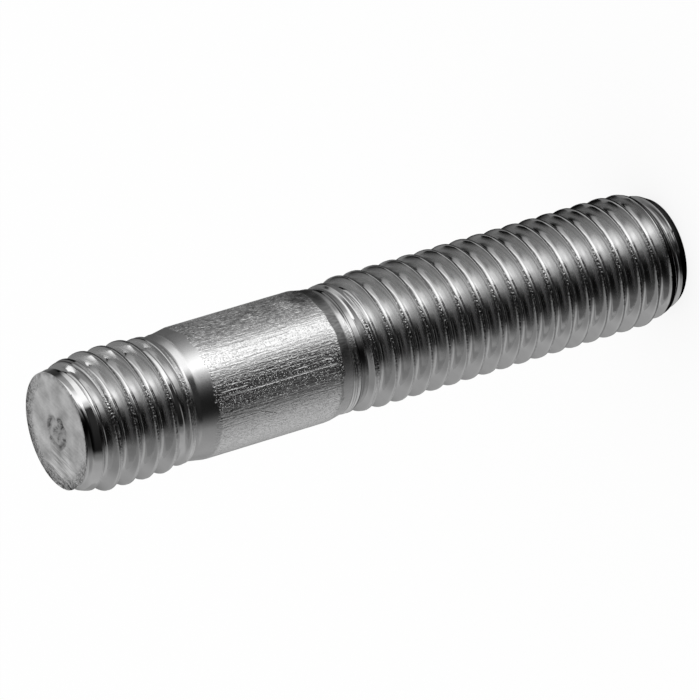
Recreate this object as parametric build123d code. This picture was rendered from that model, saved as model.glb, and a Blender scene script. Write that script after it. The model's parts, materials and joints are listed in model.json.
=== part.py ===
from build123d import *
import os
from math import ceil, radians, tan

# A double ended stud, M10 x 1.5, in one piece of steel bar: a long nut end, a plain shank and a
# short screw-in end, each end with a rolled right-hand thread. It stands on its nut end along
# +Z, with the middle of that end's face at the origin. All sizes are in millimetres, and a
# point of a profile is (radius, height).

# driving dimensions
LENGTH = 50.5
PITCH = 1.5
CREST_R = 4.91  # over the threads, a little under the nominal 5 as rolled threads are
SHANK_R = 4.81
NECK_R = 4.57  # the bar as it was before rolling, bare beside each thread

# the thread's section: narrow crests, wider roots and flanks at 30 degrees to the radius
CREST_FLAT = PITCH / 8
ROOT_FLAT = PITCH / 6
ROOT_R = CREST_R - 0.613 * PITCH
FLANK_SLOPE = tan(radians(30))

# heights along the bar
NUT_THREAD_TOP = 27.9
SHANK_LOW, SHANK_HIGH = 30.1, 40.05
SCREW_THREAD_LOW = 41.5
TAPER = 1.2  # length of the cone from the shank down to a neck
ROOT_RISE = 2.6  # how far from a neck the roots start to rise towards it

# the height of one crest of each thread over the X axis
NUT_CREST_Z = 0.63
SCREW_CREST_Z = 42.73

# the profiles over the crests: a lead of rising crests behind each end face, full height, and
# the last crests, lower and lower, where the rolling ran out and they sink into the neck
SUNK_R = NECK_R - 0.05
NUT_CRESTS = [
    (4.05, 0),
    (4.36, 0.8),
    (CREST_R, 2.5),
    (CREST_R, NUT_THREAD_TOP - 1.4),
    (SUNK_R, NUT_THREAD_TOP),
]
SCREW_CRESTS = [
    (SUNK_R, SCREW_THREAD_LOW),
    (CREST_R, SCREW_THREAD_LOW + 2.2),
    (CREST_R, LENGTH - 2.6),
    (4.13, LENGTH),
]

FLATS = 32  # straight lines that each turn of a helix is drawn with, which keeps the solid light
SEAM = 3 * 360 / FLATS  # the angle where a thread's solid starts and ends


def crest_radius(z, crests):
    """The radius over the crests at height z, which stays the same past either end."""
    for (r0, z0), (r1, z1) in zip(crests, crests[1:]):
        if z0 <= z <= z1:
            return r0 + (r1 - r0) * (z - z0) / (z1 - z0)
    return crests[0][0] if z < crests[0][1] else crests[-1][0]


def thread_section(middle, crests):
    """The thread's outline over one pitch, root to root, about a crest at the middle height."""
    radius = crest_radius(middle, crests)
    crest = CREST_FLAT / 2 + (CREST_R - radius) * FLANK_SLOPE
    root = (PITCH - ROOT_FLAT) / 2
    return [
        (ROOT_R, middle - root),
        (radius, middle - crest),
        (radius, middle + crest),
        (ROOT_R, middle + root),
        (ROOT_R, middle + root + ROOT_FLAT),
    ]


def strip(lower, upper):
    """The ruled faces between two rows of corners."""
    return [
        Face.make_surface_from_curves(Edge.make_line(a, b), Edge.make_line(c, d))
        for a, b, c, d in zip(lower, lower[1:], upper, upper[1:])
    ]


def threaded_rod(crest_z, crests):
    """A rod of thread that reaches past both ends of its crests' profile, with raw ends."""
    low, high = crests[0][1], crests[-1][1]
    at_seam = crest_z + PITCH * SEAM / 360
    first = at_seam - PITCH * (ceil((at_seam - low) / PITCH) + 1)
    steps = FLATS * (ceil((high - first) / PITCH) + 1)
    rows = [[], [], [], [], []]
    for k in range(steps + 1):
        for row, (r, z) in zip(rows, thread_section(first + PITCH * k / FLATS, crests)):
            row.append(Vector(r, 0, z).rotate(Axis.Z, SEAM + 360 * k / FLATS))
    faces = [face for lower, upper in zip(rows, rows[1:]) for face in strip(lower, upper)]
    # each raw end is a helicoid in to the axis, and the step where its turn closes
    for k, outer in ((0, rows[0][: FLATS + 1]), (steps, rows[-1][-FLATS - 1 :])):
        axis = [Vector(0, 0, corner.Z) for corner in outer]
        step = [row[k] for row in rows] + axis[::-1]
        faces += strip(axis, outer) + [Face(Wire.make_polygon(step, close=True))]
    return Solid(Shell(faces))


def threaded_end(crest_z, crests):
    """One end's thread, cut off square at its face and at its neck."""
    low, high = crests[0][1], crests[-1][1]
    between = Cylinder(CREST_R + 1, high - low, align=(Align.CENTER, Align.CENTER, Align.MIN))
    return threaded_rod(crest_z, crests) & Pos(0, 0, low) * between


def bar():
    """The shank and its necks, each tapering on into its thread, so that the roots rise to it."""
    low, high = NUT_THREAD_TOP - ROOT_RISE, SCREW_THREAD_LOW + ROOT_RISE
    core = ROOT_R - 0.1
    profile = [
        (0, low),
        (core, low),
        (NECK_R, NUT_THREAD_TOP),
        (NECK_R, SHANK_LOW - TAPER),
        (SHANK_R, SHANK_LOW),
        (SHANK_R, SHANK_HIGH),
        (NECK_R, SHANK_HIGH + TAPER),
        (NECK_R, SCREW_THREAD_LOW),
        (core, high),
        (0, high),
    ]
    outline = Wire.make_polygon([(r, 0, z) for r, z in profile], close=True)
    half_flat = 180 / FLATS  # turned from between two corners of the helices
    return Rot(0, 0, half_flat) * revolve(Face(outline), axis=Axis.Z)


nut_end = threaded_end(NUT_CREST_Z, NUT_CRESTS)
screw_in_end = threaded_end(SCREW_CREST_Z, SCREW_CRESTS)
stud = bar() + nut_end + screw_in_end

os.makedirs("parts", exist_ok=True)
export_step(stud, "parts/stud.step")
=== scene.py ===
import json
import math

import bmesh
import bpy
import numpy as np
from mathutils import Matrix, Vector, noise

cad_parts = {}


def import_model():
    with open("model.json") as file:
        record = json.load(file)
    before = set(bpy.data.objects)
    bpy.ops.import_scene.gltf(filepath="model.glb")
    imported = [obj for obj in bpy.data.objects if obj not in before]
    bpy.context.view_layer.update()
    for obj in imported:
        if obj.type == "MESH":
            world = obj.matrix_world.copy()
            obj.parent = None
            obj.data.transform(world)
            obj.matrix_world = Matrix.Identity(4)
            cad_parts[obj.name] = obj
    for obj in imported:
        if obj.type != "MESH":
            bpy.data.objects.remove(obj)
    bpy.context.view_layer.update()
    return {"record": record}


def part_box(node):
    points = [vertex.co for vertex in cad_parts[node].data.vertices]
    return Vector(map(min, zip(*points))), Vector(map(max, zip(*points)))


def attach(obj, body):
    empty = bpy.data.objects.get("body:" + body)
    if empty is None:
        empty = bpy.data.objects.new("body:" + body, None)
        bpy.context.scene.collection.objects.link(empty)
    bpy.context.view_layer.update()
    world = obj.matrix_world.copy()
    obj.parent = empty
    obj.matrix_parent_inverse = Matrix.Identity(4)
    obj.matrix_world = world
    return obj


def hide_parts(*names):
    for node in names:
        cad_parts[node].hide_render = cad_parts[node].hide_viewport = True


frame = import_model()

# A double ended stud, M10 x 1.5, standing on its nut end. Heights are along +Z from the nut
# end's face, and the turn of a point is its angle round the axis from +X, anticlockwise as
# seen from above. Shapes are in metres, and the maths of the finishes is in millimetres.

MM = 0.001
DEGREE = math.pi / 180


# --- sizes -----------------------------------------------------------------------------------

low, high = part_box("stud")
LENGTH = high.z
CREST_R = (high.x - low.x) / 2
shank_mount = next(m for m in frame["record"]["mounts"] if m["name"] == "shank")
SHANK_R = shank_mount["dims"]["r_mm"] * MM
SHANK_MIDDLE = shank_mount["pos_m"][2]
SHANK_HALF = shank_mount["dims"]["length_mm"] * MM / 2
SHANK_LOW, SHANK_HIGH = SHANK_MIDDLE - SHANK_HALF, SHANK_MIDDLE + SHANK_HALF
NECK_R = 4.57 * MM
TAPER = 1.2 * MM

# the thread: 60 degree flanks, narrow crests and round roots
PITCH = 1.5 * MM
FLANK_SLOPE = math.tan(30 * DEGREE)
CREST_HALF = PITCH / 16
ROOT_ROUND = 0.1443 * PITCH
THREAD_DEPTH = 0.6134 * PITCH
ROUNDING = 0.05 * MM  # where one surface runs into another
CREST_ROUNDING = 0.06 * MM

# heights along the bar
NUT_THREAD_TOP = 29.1 * MM
SCREW_THREAD_LOW = 41.5 * MM
SCREW_TRACE_LOW = SCREW_THREAD_LOW - 0.2 * MM  # where the first trace of its crests begins
NUT_CREST = 0.63 * MM  # one crest of each thread where it crosses +X
SCREW_CREST = 42.73 * MM

# the radius over the crests, (height, radius). FULL leaves them their whole height
FULL = CREST_R + 0.08 * MM
NUT_CRESTS = [
    (0, 3.97 * MM),
    (0.7 * MM, 4.34 * MM),
    (1.4 * MM, 4.54 * MM),
    (2.1 * MM, 4.80 * MM),
    (2.8 * MM, FULL),
    (25.9 * MM, FULL),
    (26.7 * MM, 4.86 * MM),
    (27.4 * MM, 4.70 * MM),
    (28.2 * MM, 4.63 * MM),
    (29.2 * MM, 4.60 * MM),
]
SCREW_CRESTS = [
    (41.3 * MM, 4.60 * MM),
    (42.3 * MM, 4.72 * MM),
    (43.0 * MM, 4.72 * MM),
    (43.7 * MM, FULL),
    (47.9 * MM, FULL),
    (48.7 * MM, 4.68 * MM),
    (49.4 * MM, 4.52 * MM),
    (50.0 * MM, 4.31 * MM),
    (LENGTH, 4.26 * MM),
]

# the bar between the threads, and the roots that rise to it, (height, radius)
BAR = [
    (25.6 * MM, 3.8 * MM),
    (27.9 * MM, 4.40 * MM),
    (28.75 * MM, NECK_R),
    (SHANK_LOW - TAPER, NECK_R),
    (SHANK_LOW, SHANK_R),
    (SHANK_HIGH, SHANK_R),
    (SCREW_THREAD_LOW, NECK_R),
    (44.1 * MM, 3.8 * MM),
]


# --- the shape of the bar --------------------------------------------------------------------


def smooth_min(a, b, rounding):
    return (a + b - np.sqrt((a - b) ** 2 + rounding**2)) / 2


def smooth_max(a, b, rounding):
    return -smooth_min(-a, -b, rounding)


def along(points, place):
    """The value at a place on a line of (place, value) points."""
    places, values = zip(*points)
    return np.interp(place, places, values)


def hump(distance, width, power=2):
    """1 where the distance is 0, falling to 0 past the width, steeper with a higher power."""
    return np.exp(-((distance / width) ** power))


def wander(points, size):
    """Smooth noise from -1 to 1 at points, with lumps of the given size."""
    return np.array([noise.noise(Vector(p)) for p in points / size])


def thread_radius(off_crest):
    """The radius of the full thread at a distance along the axis from its crest."""
    flank = CREST_R - (off_crest - CREST_HALF) / FLANK_SLOPE
    off_root = PITCH / 2 - off_crest
    root_middle = CREST_R - THREAD_DEPTH + ROOT_ROUND
    under = np.sqrt(np.maximum(ROOT_ROUND**2 - off_root**2, 0))
    root = np.where(off_root < ROOT_ROUND * math.cos(30 * DEGREE), root_middle - under, 0)
    crest = smooth_min(flank, CREST_R + 0.02 * MM, CREST_ROUNDING)
    return np.maximum(crest, root)


def thread_masks(off_crest, spread, full, nut_side):
    """Where the crests' seams get painted shade and glints, where they are rough and where a
    flank is worn.

    The seam and its rough lips lie further down the side that faces the nut end, and on the
    other side the roots are a little rough and the flank is worn in a narrow strip.
    """
    seam_half = spread + np.where(nut_side, 0.10, 0) * MM
    rough_half = spread + np.where(nut_side, 0.12, 0.02) * MM
    root = hump(PITCH / 2 - off_crest, 0.16 * MM, 4)
    rough_root = np.where(nut_side, 0, 0.2) * full * root
    return {
        "dark_seam": full * hump(off_crest, seam_half, 4),
        "rough": np.maximum(full * hump(off_crest, rough_half, 4), rough_root),
        "worn": np.where(nut_side, 0, full) * hump(off_crest - 0.32 * MM, 0.09 * MM),
    }


def bar_surface(turn, z):
    """Radius and masks of the bar's surface at arrays of turns and heights."""
    nut_end = z < SHANK_MIDDLE
    first = np.where(nut_end, NUT_CREST, SCREW_CREST)
    phase = (z - first) / PITCH - turn / (2 * math.pi)
    off_crest = np.abs(phase - np.round(phase)) * PITCH
    nut_side = phase < np.round(phase)
    crests = np.where(nut_end, along(NUT_CRESTS, z), along(SCREW_CRESTS, z))

    # crests that aren't full are wider
    missing = np.maximum(CREST_R - crests, 0)
    spread = CREST_HALF + missing * FLANK_SLOPE
    full = hump(missing, 0.25 * MM)
    masks = thread_masks(off_crest, spread, full, nut_side)

    # the rolled metal has met along the middle of each crest in an uneven seam
    spot = np.stack([CREST_R * np.cos(turn), CREST_R * np.sin(turn), z], axis=1)
    lumps = wander(spot, 0.9 * MM)
    grit = wander(spot, 0.32 * MM)
    seam = (0.030 + 0.015 * lumps + 0.006 * grit) * MM + 0.12 * (spread - CREST_HALF)
    seam = np.maximum(seam, 0) * hump(off_crest, 0.45 * spread)
    on_crest = full * hump(off_crest, spread + 0.03 * MM, 4)
    thread = smooth_min(thread_radius(off_crest), crests, ROUNDING)
    thread = thread - seam * on_crest - on_crest * (0.006 + 0.006 * grit) * MM

    radius = smooth_max(thread, along(BAR, z), ROUNDING)
    bare = (z > NUT_THREAD_TOP) & (z < SCREW_TRACE_LOW)
    radius = np.where(bare, along(BAR, z), radius)
    masks = {name: np.where(bare, 0, mask) for name, mask in masks.items()}
    return np.minimum(radius, CREST_R), masks


# rows of the mesh from a crest to the root beside it, by their distance in mm from the crest
ACROSS_CREST = [0, 0.03, 0.06, 0.10, 0.14]
DOWN_FLANK = [0.18, 0.24, 0.34, 0.47]
ROUND_ROOT = [0.57, 0.64, 0.70]

COLUMNS = 128  # steps round one turn
SHANK_TURNS = 3  # turns that the grid takes on the shank, before they are fitted to the threads
TURNS_BELOW = 3  # how many turns below NUT_CREST the grid starts
TURNS_ABOVE = 9  # how many turns of the screw-in thread it is laid out for
SCREW_GRID_LOW = SCREW_THREAD_LOW - 0.3 * MM  # where it falls in with that thread


def rows_of_pitch():
    """Where the rows of the mesh lie in one pitch, from a crest to the next, as shares of it."""
    half = [d * MM / PITCH for d in ACROSS_CREST + DOWN_FLANK + ROUND_ROOT]
    return half + [0.5] + [1 - h for h in half[:0:-1]]


def wound_grid():
    """Turns and heights of a grid that is wound round the bar along its threads."""
    rows = rows_of_pitch()
    nut_turns = (NUT_THREAD_TOP - NUT_CREST) / PITCH
    screw_turns = (SCREW_GRID_LOW - SCREW_CREST) / PITCH
    # the screw-in thread starts a whole number of turns of the grid after the nut thread
    between = round(nut_turns + SHANK_TURNS - screw_turns)
    top_turns = screw_turns + TURNS_ABOVE
    knots = [
        (-TURNS_BELOW, NUT_CREST - TURNS_BELOW * PITCH),
        (nut_turns, NUT_THREAD_TOP),
        (screw_turns + between, SCREW_GRID_LOW),
        (top_turns + between, SCREW_CREST + PITCH * top_turns),
    ]
    last = math.ceil(between + (LENGTH - SCREW_CREST) / PITCH) + 1
    wound = np.array([k + row for k in range(-TURNS_BELOW, last) for row in rows])
    share = np.arange(COLUMNS) / COLUMNS
    height = along(knots, wound[:, None] + share[None, :])
    turn = np.broadcast_to(share * 2 * math.pi, height.shape)
    return turn, height, len(rows)


def wound_skin():
    """The bar's long surface, a little past both ends."""
    turn, z, rows_per_turn = wound_grid()
    count, columns = z.shape
    radius, masks = bar_surface(turn.ravel(), z.ravel())
    x = radius * np.cos(turn.ravel())
    y = radius * np.sin(turn.ravel())
    points = np.stack([x, y, z.ravel()], axis=1)
    faces = []
    for j in range(count - 1):
        for i in range(columns):
            if i + 1 < columns:
                right, up_right = j * columns + i + 1, (j + 1) * columns + i + 1
            elif j + 1 + rows_per_turn < count:
                # a turn's last column joins the first one a pitch higher
                right, up_right = (j + rows_per_turn) * columns, (j + 1 + rows_per_turn) * columns
            else:
                continue
            faces.append((j * columns + i, right, up_right, (j + 1) * columns + i))
    return points, faces, masks


def rim_of(mesh, z):
    """The vertices of the open edge at height z, in order round the axis."""
    edge = [v for v in mesh.verts if abs(v.co.z - z) < 1e-7 and v.is_boundary]
    return sorted(edge, key=lambda v: math.atan2(v.co.y, v.co.x))


CHAMFER = 0.05 * MM
# rings of vertices on an end's face, as shares of the rim's radius
END_RINGS = [0.988, 0.97, 0.94, 0.9] + [0.85 - 0.04 * k for k in range(21)]


def close_end(mesh, rim, face_z, relief, facing, face_mask, dirt_and_shade_mask):
    """Closes an end with rings of quads that follow its relief, a function of x and y."""

    def place(x, y):
        depth, dirt = relief(x, y)
        vert = mesh.verts.new((x, y, face_z - facing * depth))
        vert[face_mask] = 1.0
        vert[dirt_and_shade_mask] = dirt
        return vert

    outer = rim
    for share in END_RINGS:
        ring = [place(v.co.x * share, v.co.y * share) for v in rim]
        for k in range(len(rim)):
            nxt = (k + 1) % len(rim)
            quad = [outer[k], outer[nxt], ring[nxt], ring[k]]
            mesh.faces.new(quad if facing > 0 else quad[::-1])
        outer = ring
    middle = place(0, 0)
    for k in range(len(outer)):
        corner = [outer[k], outer[(k + 1) % len(outer)], middle]
        mesh.faces.new(corner if facing > 0 else corner[::-1])


FACE_R = 4.15 * MM  # the screw-in end's face
PIP_R = 1.05 * MM  # the mark in its middle, where the bar was parted off
TURNED_R = 3.2 * MM  # the hollow in the nut end's face
TURNED_PITCH = 0.25 * MM  # from ring to ring of the tool marks there


def screw_in_relief(x, y):
    """How far below its top the screw-in end's face lies at a point, and how much dirt and
    painted shade it has there.
    """
    r = math.hypot(x, y)
    spot = Vector((x, y, 0))
    uneven = noise.noise(spot / (0.55 * MM))
    rim = max(0, r / FACE_R - 0.93) / 0.07
    groove = hump(r - PIP_R - 0.14 * MM * uneven, 0.15 * MM)
    groove *= min(1, 0.9 + 1.5 * noise.noise(spot / (0.8 * MM) + Vector((5, 0, 0))))
    lumps = max(0, 1 - r / PIP_R) * (0.5 + noise.noise(spot / (0.3 * MM)))
    waves = noise.noise(Vector((x, y * 0.3, 0)) / (0.8 * MM)) + 1.2
    depth = 0.15 * groove + 0.18 * lumps + 0.016 * waves + 0.03 * rim * (1 + uneven)
    ragged = max(0, 0.5 + 1.2 * noise.noise(spot / (0.35 * MM)))
    return max(0, depth) * MM, max(0, groove) * 0.9 + 0.6 * lumps + rim * ragged


def nut_end_relief(x, y):
    """How far above its lowest plane the nut end's face lies at a point, and how dirty it is."""
    r = math.hypot(x, y)
    rings = 0.5 + 0.5 * math.cos(r / TURNED_PITCH * 2 * math.pi)
    inside = min(1, max(0, 1 - r / TURNED_R))
    return (0.006 * rings + 0.03 * inside) * MM, 0.15 * rings


def stud_bar():
    """The whole stud as one closed mesh."""
    points, faces, masks = wound_skin()
    data = bpy.data.meshes.new("stud_bar")
    data.from_pydata(points.tolist(), [], faces)
    mesh = bmesh.new()
    mesh.from_mesh(data)
    mesh.verts.ensure_lookup_table()
    for name, values in masks.items():
        layer = mesh.verts.layers.float.new(name)
        for vert, value in zip(mesh.verts, values):
            vert[layer] = value
    # the ends' faces carry a mask of dirt and painted shade
    end_masks = [mesh.verts.layers.float.new(name) for name in ("end_face", "dirt")]
    for z, facing in ((LENGTH - CHAMFER, 1), (CHAMFER, -1)):
        bmesh.ops.bisect_plane(
            mesh,
            geom=[*mesh.verts, *mesh.edges, *mesh.faces],
            dist=1e-8,
            plane_co=(0, 0, z),
            plane_no=(0, 0, facing),
            clear_outer=True,
        )
    close_end(mesh, rim_of(mesh, LENGTH - CHAMFER), LENGTH, screw_in_relief, 1, *end_masks)
    close_end(mesh, rim_of(mesh, CHAMFER), 0, nut_end_relief, -1, *end_masks)
    mesh.to_mesh(data)
    mesh.free()
    data.shade_smooth()
    data.set_sharp_from_angle(angle=50 * DEGREE)
    bar = bpy.data.objects.new("stud_bar", data)
    bpy.context.collection.objects.link(bar)
    return bar


# --- finishes --------------------------------------------------------------------------------


class Value:
    """A number that varies over a surface. Its sums add Math nodes to its finish."""

    def __init__(self, finish, socket):
        self.finish = finish
        self.socket = socket

    def __add__(self, other):
        return self.finish.maths("ADD", self, other)

    def __radd__(self, other):
        return self.finish.maths("ADD", other, self)

    def __sub__(self, other):
        return self.finish.maths("SUBTRACT", self, other)

    def __rsub__(self, other):
        return self.finish.maths("SUBTRACT", other, self)

    def __mul__(self, other):
        return self.finish.maths("MULTIPLY", self, other)

    def __rmul__(self, other):
        return self.finish.maths("MULTIPLY", other, self)

    def __truediv__(self, other):
        return self.finish.maths("DIVIDE", self, other)

    def __mod__(self, other):
        return self.finish.maths("FLOORED_MODULO", self, other)

    def __pow__(self, other):
        return self.finish.maths("POWER", self, other)

    def __abs__(self):
        return self.finish.maths("ABSOLUTE", self)

    def above(self, start, end):
        """0 below start, 1 above end, and smooth between them."""
        settings = {"interpolation_type": "SMOOTHSTEP"}
        inputs = {"Value": self, "From Min": start, "From Max": end}
        return self.finish.value("ShaderNodeMapRange", settings, inputs, "Result")

    def below(self, start, end):
        """1 below start, 0 above end, and smooth between them."""
        return 1 - self.above(start, end)


class Finish:
    """A material, with one method for any of its nodes."""

    def __init__(self, name):
        self.material = bpy.data.materials.new(name)
        self.material.use_nodes = True
        self.tree = self.material.node_tree
        self.tree.nodes.clear()

    def node(self, kind, settings=None, inputs=None):
        """A node of that kind. inputs are values or links, by name or in order."""
        made = self.tree.nodes.new(kind)
        for name, value in (settings or {}).items():
            if name == "stops":
                self.set_stops(made.color_ramp, value)
            elif name == "interpolation":
                made.color_ramp.interpolation = value
            else:
                setattr(made, name, value)
        pairs = inputs.items() if isinstance(inputs, dict) else enumerate(inputs or ())
        for name, value in pairs:
            socket = made.inputs[name]
            if isinstance(value, Value):
                self.tree.links.new(value.socket, socket)
            elif isinstance(value, bpy.types.NodeSocket):
                self.tree.links.new(value, socket)
            else:
                socket.default_value = value
        return made

    def set_stops(self, ramp, stops):
        """Gives a ramp its stops of (place, grey level)."""
        while len(ramp.elements) < len(stops):
            ramp.elements.new(1.0)
        for element, (place, level) in zip(ramp.elements, stops):
            element.position = place
            element.color = (level, level, level, 1)

    def value(self, kind, settings=None, inputs=None, output=0):
        """The number that comes out of a node of that kind."""
        return Value(self, self.node(kind, settings, inputs).outputs[output])

    def maths(self, operation, *values):
        return self.value("ShaderNodeMath", {"operation": operation}, values)

    def places(self):
        """The place on the piece, in metres, and its x, y and z in mm."""
        place = self.node("ShaderNodeTexCoord").outputs["Object"]
        parts = self.node("ShaderNodeSeparateXYZ", None, [place]).outputs
        return place, *(Value(self, part) / MM for part in parts)

    def mask(self, name):
        """A mask that the mesh carries, from 0 to 1."""
        return self.value("ShaderNodeAttribute", {"attribute_name": name}, output="Fac")

    def stretched(self, place, scale):
        """The place with each direction multiplied by its scale."""
        settings = {"operation": "MULTIPLY"}
        return self.node("ShaderNodeVectorMath", settings, [place, scale]).outputs[0]

    def turned(self, place, angle):
        """The place turned round the stud's axis by an angle in degrees."""
        settings = {"rotation_type": "Z_AXIS"}
        inputs = {"Vector": place, "Angle": angle * DEGREE}
        return self.node("ShaderNodeVectorRotate", settings, inputs).outputs[0]

    def cloud(self, place, size, detail=2.0, roughness=0.5):
        """Noise from 0 to 1 at a place, with lumps of that size in mm."""
        scale = 1 / (size * MM)
        inputs = {"Vector": place, "Scale": scale, "Detail": detail, "Roughness": roughness}
        return self.value("ShaderNodeTexNoise", None, inputs)

    def spot(self, place, middle, across):
        """1 in the middle of a spot and 0 outside it. Its middle and its width are in mm."""
        pair = [place, [m * MM for m in middle]]
        away = self.value("ShaderNodeVectorMath", {"operation": "DISTANCE"}, pair, "Value")
        return (away / MM).below(0.2 * across, 0.5 * across)

    def grey(self, level):
        return self.node("ShaderNodeCombineColor", None, [level, level, level]).outputs[0]

    def finished(self, shader):
        """The material, once the shader is on it."""
        self.node("ShaderNodeOutputMaterial", None, [shader.outputs[0]])
        return self.material


# scratches on the shank: the angle from +X clockwise as seen from above, the lowest and the
# highest point, the slant in degrees per mm and the depth
SCRATCHES = [
    (102.5, 30.2, 40.0, 0.0, 0.55),
    (98, 37.5, 40.0, 0.0, 0.45),
    (97, 30.2, 33.8, 0.3, 0.25),
    (106, 31.5, 37.0, 0.0, 0.25),
    (96.5, 30.5, 31.5, -3.0, 0.9),
    (126.5, 35.5, 37.0, -5.0, 0.9),
    (66, 33.0, 39.0, 0.5, 0.3),
]


def scratches(finish, x, y, z):
    """The depth of the scratches at a place, from 0 to about 1."""
    turn = finish.maths("ARCTAN2", -1 * y, x) / DEGREE
    total = 0
    for angle, start, end, slant, depth in SCRATCHES:
        off = turn - (z - (start + end) / 2) * slant - angle
        inside = z.above(start, start + 0.3) * z.below(end - 0.3, end)
        total = total + abs(off).below(0.15, 0.8) * inside * depth
    return total


STEEL_GREY = 0.62
STEEL_ROUGHNESS = 0.06
RELIEF_DEPTH = 0.03 * MM  # how much a step of 1 in the finest relief stands proud

# heights on the bar where finishes change, in mm: the ends of the matt skin on the shank, the
# foot of the low cone, the top of the high cone, and the band where the nut thread runs out
SKIN_LOW = SHANK_LOW / MM - 0.25
SKIN_HIGH = SHANK_HIGH / MM + 0.2
LOW_CONE_FOOT = 28.95
HIGH_CONE_TOP = 42.2
RUN_OUT_LOW, RUN_OUT_LINE, RUN_OUT_HIGH = 27.8, 28.26, 28.36

# spots on the steel: the middle and the width, in mm
SCRAPED_SPOT = ((-2.6, 1.0, 50.5), 5.0)  # on the screw-in end's face
# the next two are spots of painted dark reflection
SMALL_PAINTED_REFLECTION = ((3.9, -1.6, 50.2), 2.2)  # beside that face
LONG_PAINTED_REFLECTION = ((-0.7, -4.3, 50.3), 4.6)
# a spot of painted shade
LEAD_PAINTED_SHADE = ((3.0, -3.0, 0.6), 5.0)  # on the nut end's first turns
CORNER_DARK_PATCH = ((4.1, -2.3, 30.2), 3.8)  # on the skin by the low cone


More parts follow.
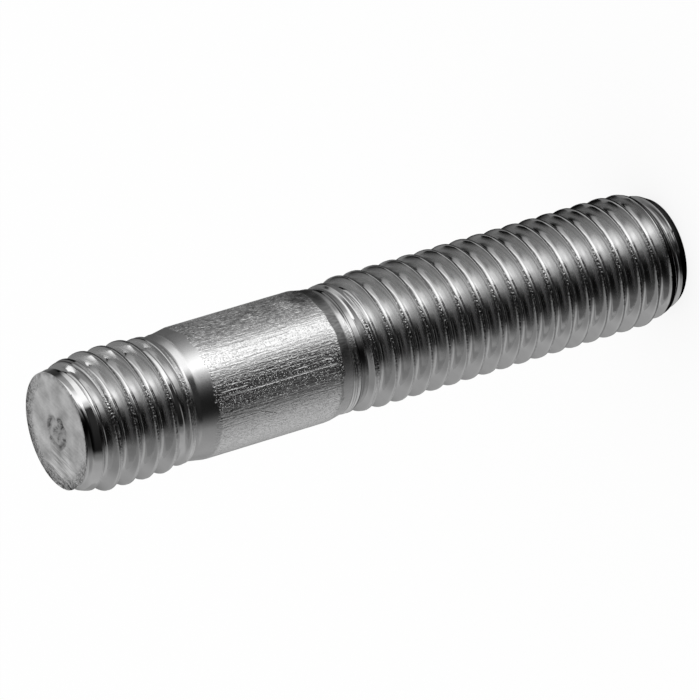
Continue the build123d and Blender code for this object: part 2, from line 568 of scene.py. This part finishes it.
def rolled_steel():
    """Bright steel: smooth rolled flanks, gritty crests, a matt skin on the shank, matt ends, and
    painted shade, glints and reflections in places.
    """
    steel = Finish("rolled_steel")
    place, x, y, z = steel.places()
    rough = steel.mask("rough")
    dark_seam = steel.mask("dark_seam")
    worn = steel.mask("worn")
    end_face = steel.mask("end_face")
    dirt = steel.mask("dirt")

    # what the steel's marks are made of: grain along the bar, specks, grit, blotches, cuts
    grain = steel.cloud(steel.stretched(place, (1, 1, 0.45)), 0.14)
    drawn = steel.cloud(steel.stretched(place, (1, 1, 0.06)), 0.12, 1.0)
    specks = steel.cloud(place, 0.11, 0.5).above(0.57, 0.70)
    grit = steel.cloud(place, 0.14, 1.0)
    blotches = steel.cloud(place, 1.1, 3.0)
    patches = steel.cloud(place, 1.5, 4.0)
    sawn = steel.cloud(steel.stretched(place, (1, 0.25, 1)), 0.25, 3.0, 0.6)
    scrapes = steel.cloud(steel.stretched(steel.turned(place, -50), (0.1, 1, 1)), 0.16)

    # the skin ends in a wavy line where each cone begins
    wave = steel.cloud(steel.stretched(place, (1, 1, 0.1)), 1.6) - 0.5
    wavy_height = z + wave * 0.9
    above_low = wavy_height.above(SKIN_LOW, SKIN_LOW + 0.1)
    below_high = wavy_height.below(SKIN_HIGH, SKIN_HIGH + 0.1)
    skin = above_low * below_high * (1 - end_face)
    low_cone = (1 - above_low) * z.above(LOW_CONE_FOOT, LOW_CONE_FOOT + 0.2)
    high_cone = (1 - below_high) * z.below(HIGH_CONE_TOP, HIGH_CONE_TOP + 0.3)

    # the crests are smoother towards +X, and the rim of the screw-in end is ragged towards +Y
    smoother = x.above(0.4, 2.2) * 0.85
    gritty = rough * (1 - smoother) * (0.3 + x.above(-3, -1) * 0.7)
    radius = (x * x + y * y) ** 0.5
    ragged = end_face * radius.above(3.0, 3.9) * (y - x * 0.5).above(-2.5, 0.5)

    coarser = 1 + x.above(2.4, 4.2) * 2.0 + x.below(-0.2, 0.8) * x.above(-2.6, -1.8) * 0.8
    level = 0.5 + skin * coarser * (grain * 0.45 + drawn * 0.65 + specks * 0.4 - 0.63)
    level = level - skin * scratches(steel, x, y, z)
    level = level + (gritty * 2.2 + ragged * 5) * (grit - 0.5) + end_face * (sawn - 0.5) * 2.5
    relief = {"Height": level, "Distance": RELIEF_DEPTH, "Strength": 1.0}
    normal = steel.node("ShaderNodeBump", None, relief).outputs["Normal"]

    # the low cone has painted shade towards +X and a painted sheen towards -X, and both cones are
    # darker and blotchy at +X
    upper = x.above(-1.6, -0.4)
    painted_cone_shade_and_sheen = drawn * 0.35 - 0.45 + upper * (1.05 - x.above(2.1, 2.6) * 0.2)
    darker_at_plus_x = (low_cone + high_cone) * x.above(2.5, 4) * (0.1 + blotches * 0.5)
    shade = STEEL_GREY + (blotches - 0.5) * 0.10
    shade = shade * (1 - low_cone * painted_cone_shade_and_sheen) * (1 - darker_at_plus_x)

    # the seams in the crests have painted shade, with painted glints in them
    glints = grit.above(0.54, 0.66) * (1 - smoother)
    shade = shade * (1 - dark_seam * x.above(-3, 0) * (0.85 - glints * 1.1))

    # the faces are mottled and dirty, with painted shade too in the screw-in end's hollows and on
    # its rim, which is darker and speckled towards +Y, and that face is scraped in one place
    scraped = 0.3 + steel.spot(place, *SCRAPED_SPOT) * 1.4
    mottled = (patches - 0.5) * 1.5 + (scrapes - 0.5) * 1.2 * scraped - dirt * 0.6
    shade = shade * (1 + end_face * mottled - ragged * (0.14 + (grit - 0.5) * 2.6))

    # painted dark reflections beside the screw-in end's face, painted shade on the nut end's
    # first turns and a painted dark reflection round its rim
    painted_reflection = steel.spot(place, *SMALL_PAINTED_REFLECTION)
    painted_reflection = painted_reflection + steel.spot(place, *LONG_PAINTED_REFLECTION) * z.above(49.9, 50.1)
    shade = shade * (1 - painted_reflection * (1 - end_face) * 0.9)
    shade = shade * (1 - steel.spot(place, *LEAD_PAINTED_SHADE) * 0.55)
    shade = shade * (1 - z.below(0.2, 0.5) * (1 - end_face) * 0.6)

    # the nut thread runs out in a band of painted shade that ends in a darker painted line
    run_out = z.above(RUN_OUT_LOW, RUN_OUT_LOW + 0.2) * z.below(RUN_OUT_HIGH, RUN_OUT_HIGH + 0.06)
    line = z.above(RUN_OUT_LINE, RUN_OUT_LINE + 0.06)
    shade = shade * (1 - run_out * (0.3 + line * 0.5))

    # the skin is darker and mottled towards +X, and darkest there in a blotchy patch by the low
    # cone
    side = skin * x.above(2.2, 4.2)
    shade = shade * (1 - side * 0.12 + (side * 2.6 + skin * 0.5) * (grain - 0.5))
    shade = shade * (1 + side * (blotches - 0.5) * 1.4)
    corner = steel.spot(place, *CORNER_DARK_PATCH) * blotches.above(0.25, 0.55)
    shade = shade * (1 - corner * 0.72)

    roughness = STEEL_ROUGHNESS + z.above(6, 24) * 0.02 + (blotches - 0.5) * 0.04
    roughness = roughness + skin * 0.09 + end_face * 0.22 + low_cone * 0.26 + high_cone * 0.12
    roughness = roughness + worn * x.above(-3.5, -1.5) * 0.32
    inputs = {
        "Base Color": steel.grey(shade),
        "Metallic": 1.0,
        "Roughness": roughness,
        "Normal": normal,
    }
    return steel.finished(steel.node("ShaderNodeBsdfPrincipled", None, inputs))


# --- the studio ------------------------------------------------------------------------------

TENT_R = 300 * MM
FLOOR_HALF = 12 * LENGTH
FLOOR_GREY = (0.9, 0.9, 0.9, 1)
FLOOR_WHITE = 0.85  # how much of the floor's look is plain white, and the rest its lit grey
LAMP_POWER = 0.25
CLOTH_RISE = 0.02 * MM  # from the floor up to the ground cloth
BRIGHTEST = 2.0  # how strongly a cloth or a card glows where its tone is 1

# How strongly the tent and the ground cloth glow, where 1 is white. Angles are in degrees.

PANEL_TONE = 0.60  # the pale panel in the tent

# overhead, by the angle from straight up, positive towards +X
OVERHEAD = [
    (-180, 0.32), (-54, 0.32), (-40, 0.32), (-34, 0.30), (-26, 0.20), (-21, 0.08),
    (-17, 0.015), (-8, 0.01), (-3, 0.03), (1, 0.08), (5, 0.24), (9, 0.45), (13, 0.62),
    (18, 0.62), (23, 0.48), (27, 0.36), (34, 0.27), (40, 0.17), (60, 0.14), (180, 0.20),
]

# on the ground, by the angle from +Y, clockwise as seen from above
GROUND = [
    (0, 0.14), (24, 0.15), (46, 0.20), (68, 0.27), (84, 0.37), (99, 0.50), (112, 0.66),
    (121, 1.15), (131, 1.60), (146, 1.55), (156, 0.95), (166, 0.58), (175, 0.24),
    (184, 0.08), (193, 0.025), (200, 0.008), (212, 0.008), (218, 0.012), (223, 0.018),
    (228, 0.04), (234, 0.09), (242, 0.18), (254, 0.40), (268, 0.59), (283, 0.66),
    (301, 0.69), (328, 0.52), (360, 0.14),
]

# on the walls, by the same angle
WALLS = [
    (0, 0.14), (24, 0.16), (46, 0.26), (58, 0.36), (72, 0.65), (90, 0.95), (110, 1.40),
    (140, 1.60), (150, 0.90), (158, 0.04), (232, 0.015), (244, 0.25), (260, 0.48),
    (283, 0.54), (301, 0.56), (328, 0.45), (360, 0.14),
]


def toned(finish, over, under, stops):
    """A tone that follows the angle whose tangent is over / under, by stops of (angle, glow)."""
    lowest = stops[0][0]
    angle = finish.maths("ARCTAN2", over, under) / DEGREE
    share = ((angle - lowest) % 360) / 360
    ramp = [((degrees - lowest) / 360, glow / BRIGHTEST) for degrees, glow in stops]
    settings = {"stops": ramp, "interpolation": "EASE"}
    return finish.value("ShaderNodeValToRGB", settings, [share])


def glowing(finish, tone):
    """A cloth or a card that glows with a tone, from 0 for black to 1 for BRIGHTEST."""
    inputs = {"Color": finish.grey(tone), "Strength": BRIGHTEST}
    return finish.finished(finish.node("ShaderNodeEmission", None, inputs))


def flat_piece(name, corners, material):
    data = bpy.data.meshes.new(name)
    data.from_pydata(corners, [], [tuple(range(len(corners)))])
    data.materials.append(material)
    piece = bpy.data.objects.new(name, data)
    bpy.context.collection.objects.link(piece)
    return piece


def square(half):
    """The corners of a level square round the axis."""
    return [(-half, -half, 0), (half, -half, 0), (half, half, 0), (-half, half, 0)]


def only_metal_sees(piece):
    """Keeps a piece of the studio from the camera, the shadows and the floor's light."""
    piece.visible_camera = False
    piece.visible_diffuse = False
    piece.visible_shadow = False
    piece.visible_transmission = False


def floor():
    """A pale floor that keeps the shadow, and is white to the camera and to metal and glass."""
    pale = Finish("pale_floor")
    lit = pale.node("ShaderNodeBsdfDiffuse", None, {"Color": FLOOR_GREY})
    white = pale.node("ShaderNodeEmission", None, {"Strength": 1.0})
    path = pale.node("ShaderNodeLightPath")
    rays = ("Is Camera Ray", "Is Glossy Ray", "Is Transmission Ray")
    camera_ray, glossy_ray, clear_ray = (Value(pale, path.outputs[ray]) for ray in rays)
    seen = pale.maths("MINIMUM", camera_ray + glossy_ray + clear_ray, 1) * FLOOR_WHITE
    shaders = [seen, lit.outputs[0], white.outputs[0]]
    mixed = pale.node("ShaderNodeMixShader", None, shaders)
    flat_piece("floor", square(FLOOR_HALF), pale.finished(mixed))


def tent():
    """The cloth over and round the stud, with white and black bands for the steel to mirror."""
    cloth = Finish("tent_cloth")
    _, x, y, z = cloth.places()
    radius = TENT_R / MM
    overhead = toned(cloth, x, z, OVERHEAD)
    walls = toned(cloth, x, y, WALLS)
    height = (z / radius).above(0.45, 0.70)
    bands = overhead * height + walls * (1 - height)
    # a pale panel on the +Y side, which the screw-in end's face mirrors
    panel = ((y * 0.877 + z * 0.481) / radius).above(0.90, 0.97)
    tone = bands * (1 - panel) + panel * (PANEL_TONE / BRIGHTEST)
    data = bpy.data.meshes.new("tent")
    mesh = bmesh.new()
    bmesh.ops.create_uvsphere(mesh, u_segments=48, v_segments=24, radius=TENT_R)
    mesh.to_mesh(data)
    mesh.free()
    data.materials.append(glowing(cloth, tone))
    made = bpy.data.objects.new("tent", data)
    bpy.context.collection.objects.link(made)
    made.location.z = LENGTH / 2
    only_metal_sees(made)


CARD_BLACK = 0.003
CARD_GREY = 0.14


def dark_card(name, corners, slope, start, end):
    """A dark card on the +X and +Y side, which the nut end's threads mirror.

    Its corners are in mm. It turns paler from start to end in its height less slope times x.
    """
    card = Finish(name)
    _, x, _, z = card.places()
    tone = CARD_BLACK + (z - x * slope).above(start, end) * CARD_GREY
    corners = [[c * MM for c in corner] for corner in corners]
    only_metal_sees(flat_piece(name, corners, glowing(card, tone)))


def dark_cards():
    far = [(20, 58, 40), (20, 58, 62), (56, 26, 96), (56, 26, 40)]
    near = [(8, 24, 4), (8, 24, 27), (19, 16, 27), (19, 16, 4)]
    dark_card("far_dark_card", far, slope=1.1, start=1, end=22)
    dark_card("near_dark_card", near, slope=0, start=12, end=26)


def bright_card():
    """A small bright card above the screw-in end, for the glints on its threads."""
    towards = Vector((0.54, 0.52, 0.65))
    distance = 60 * MM
    half = 7 * MM
    middle = Vector((0, 0, 46 * MM)) + towards * distance
    across = Vector((-0.69, 0.72, 0)) * half
    up = towards.normalized().cross(across)
    sides = [(-1, -1), (1, -1), (1, 1), (-1, 1)]
    corners = [middle + across * right + up * rise for right, rise in sides]
    only_metal_sees(flat_piece("bright_card", corners, glowing(Finish("bright_card"), 0.75)))


def ground_cloth():
    """A cloth on the floor that the threads mirror near the stud, and the shank further out."""
    cloth = Finish("ground_cloth")
    _, x, y, _ = cloth.places()
    distance = (x * x + y * y) ** 0.5

    def towards(degrees):
        """1 straight out from the stud at an angle of the list of tones, and -1 behind it."""
        angle = degrees * DEGREE
        return (x * math.sin(angle) + y * math.cos(angle)) / distance

    # a painted shadow of the stud, dark close round it, and dimmed a little further out on the +Y
    # and -X sides
    tone = toned(cloth, x, y, GROUND) * (0.03 + distance.above(5.2, 7.5) * 0.97)
    far_side = towards(0).above(-0.6, -0.25) * x.above(-10, 0)
    tone = tone * (1 - far_side * distance.below(11, 37) * 0.85)
    tone = tone * (1 - towards(270).above(0.55, 0.85) * distance.below(44, 56) * 0.35)

    # the bright band is brightest for the two ends and narrowest for the shank
    ends = distance.below(18, 40) + distance.above(77, 83)
    shank = distance.above(54, 60) * distance.below(77, 83)
    tone = tone * (1 + ends * towards(153).above(0.93, 0.985) * 0.4)
    tone = tone * (1 - shank * towards(113).above(0.97, 0.995) * 0.4)

    # a pale arc for the shank's dark band, and darker ground under the threads
    threads = distance.below(44, 54) + distance.above(84, 92)
    tone = tone + shank * towards(226).above(0.80, 0.95) * 0.045
    tone = tone * (1 - threads * towards(297).above(0.6, 0.88) * 0.35)
    made = flat_piece("ground_cloth", square(TENT_R), glowing(cloth, tone))
    made.location.z = CLOTH_RISE
    only_metal_sees(made)


def world():
    sky = bpy.data.worlds.new("studio")
    bpy.context.scene.world = sky
    sky.use_nodes = True
    background = sky.node_tree.nodes["Background"]
    background.inputs["Color"].default_value = (1, 1, 1, 1)
    background.inputs["Strength"].default_value = 1.0


def overhead_lamp():
    """A wide soft lamp over the floor, which metal doesn't mirror: the tent stands for it."""
    data = bpy.data.lights.new("overhead_lamp", "AREA")
    data.size = TENT_R
    data.energy = LAMP_POWER
    made = bpy.data.objects.new("overhead_lamp", data)
    made.location = (0, 0, 2 * TENT_R)
    made.visible_glossy = False
    bpy.context.collection.objects.link(made)


def camera():
    """A long lens, looking down on the stud with its screw-in end towards the lens."""
    aim = Vector((-0.432 * MM, 0, LENGTH / 2 + 1.278 * MM))
    distance = 491.2 * MM
    down = 28.744 * DEGREE
    roll = -106.774 * DEGREE
    data = bpy.data.cameras.new("camera")
    data.lens = 357.46
    data.sensor_width = 36
    data.clip_start = 10 * MM
    data.clip_end = 10000 * MM
    made = bpy.data.objects.new("camera", data)
    bpy.context.collection.objects.link(made)
    level = Matrix.Rotation(90 * DEGREE - down, 4, "X")
    back = level @ Vector((0, 0, distance))
    rolled = Matrix.Rotation(roll, 4, "Z")
    made.matrix_world = Matrix.Translation(aim + back) @ level @ rolled
    bpy.context.scene.camera = made


# --- the stud in its studio ------------------------------------------------------------------

bar = stud_bar()
bar.data.materials.append(rolled_steel())
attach(bar, "root")
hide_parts("stud")

floor()
world()
tent()
ground_cloth()
dark_cards()
bright_card()
overhead_lamp()
camera()

bpy.context.scene.view_settings.view_transform = "Standard"
